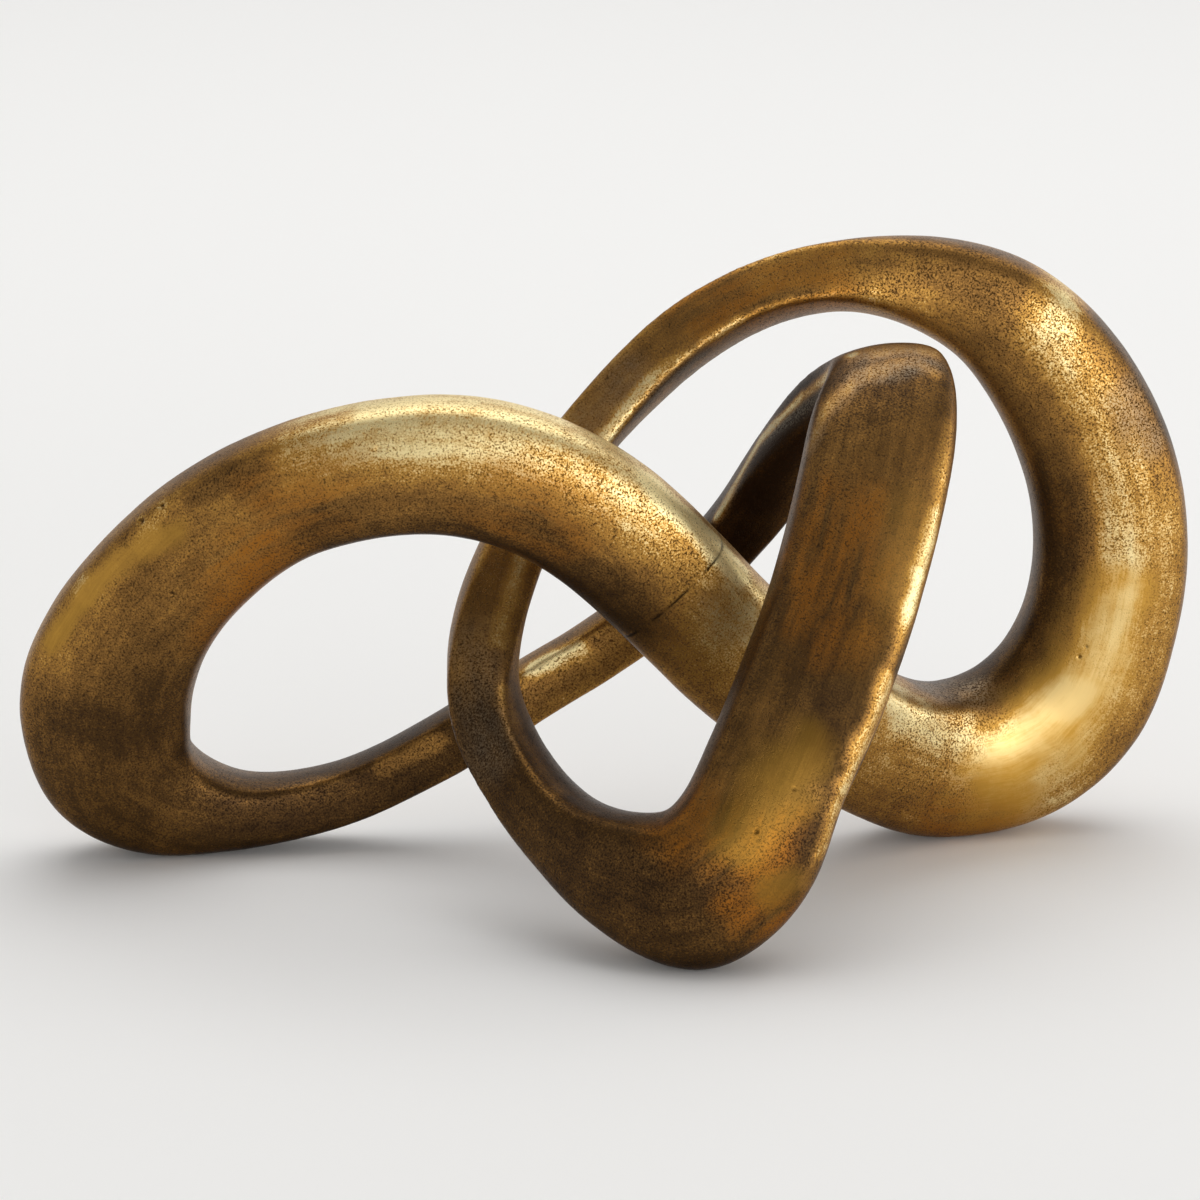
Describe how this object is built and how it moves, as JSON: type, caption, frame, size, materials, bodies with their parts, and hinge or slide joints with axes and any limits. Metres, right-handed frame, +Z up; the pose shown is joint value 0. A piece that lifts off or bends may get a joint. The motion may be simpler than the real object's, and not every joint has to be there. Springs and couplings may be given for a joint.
{
  "type": "decorative knot sculpture",
  "caption": "Free-standing table-top knot: one endless cast metal band that swells and thins as it loops over and under itself, resting on ground feet.",
  "frame": {"origin": "centre of the footprint of the whole knot, on the ground plane that the three feet stand on", "axes": "+X to the right along the longest extent, -Y towards the viewer of the picture, +Z up"},
  "size_m": [0.4453, 0.2008, 0.2349],
  "materials": {
    "cast_band": "sand-cast and hand-ground, antique-brass patina, half-gloss with pits",
    "weld": "weld ground flush, under the same antique-brass patina",
    "dowel": "plain turned steel, hidden"
  },
  "bodies": {
    "root": {"left_loop": "cast_band", "arch": "cast_band", "cross_link": "cast_band", "right_loop": "cast_band", "top_strand": "cast_band", "front_loop": "cast_band", "upright": "cast_band", "back_strand": "cast_band", "weld_bead_1": "weld", "weld_bead_2": "weld", "weld_bead_3": "weld", "weld_bead_4": "weld", "weld_bead_5": "weld", "weld_bead_6": "weld", "weld_bead_7": "weld", "weld_bead_8": "weld", "dowel_1": "dowel", "dowel_2": "dowel", "dowel_3": "dowel", "dowel_4": "dowel", "dowel_5": "dowel", "dowel_6": "dowel", "dowel_7": "dowel", "dowel_8": "dowel"}
  },
  "joints": []
}
